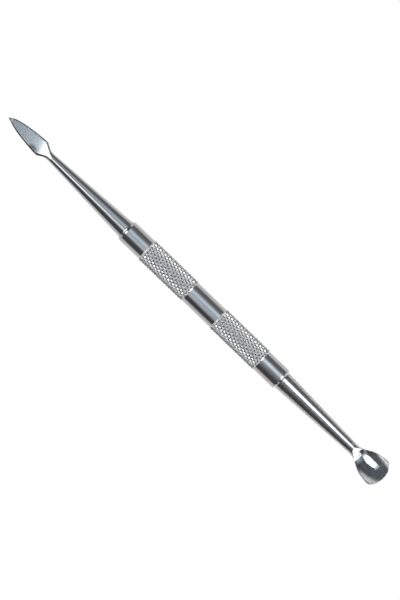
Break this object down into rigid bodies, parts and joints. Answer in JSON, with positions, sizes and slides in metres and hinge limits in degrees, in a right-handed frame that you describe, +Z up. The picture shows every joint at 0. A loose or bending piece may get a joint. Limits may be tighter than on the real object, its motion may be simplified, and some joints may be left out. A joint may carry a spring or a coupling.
{
  "type": "cuticle pusher",
  "caption": "Double-ended steel cuticle pusher: hollow spoon tip at one end, spear-shaped scraper at the other, knurled tube handle between.",
  "frame": {"origin": "on the tool's axis, halfway along the overall length", "axes": "+X along the tool towards the spoon, +Z up out of the spoon's hollow and the blade's flat face, +Y across the tool"},
  "size_m": [0.14, 0.0082, 0.0068],
  "materials": {
    "handle_steel": "polished stainless steel, rolled diamond knurl on two bands",
    "spear_steel": "polished shank, blade faces ground across the blade",
    "spoon_steel": "polished stainless steel",
    "braze_spear": "bright brazing filler, polished",
    "braze_spoon": "bright brazing filler, polished"
  },
  "bodies": {
    "root": {"handle": "handle_steel", "spear_tip": "spear_steel", "spoon_tip": "spoon_steel", "braze_ring_spear": "braze_spear", "braze_ring_spoon": "braze_spoon"}
  },
  "joints": []
}
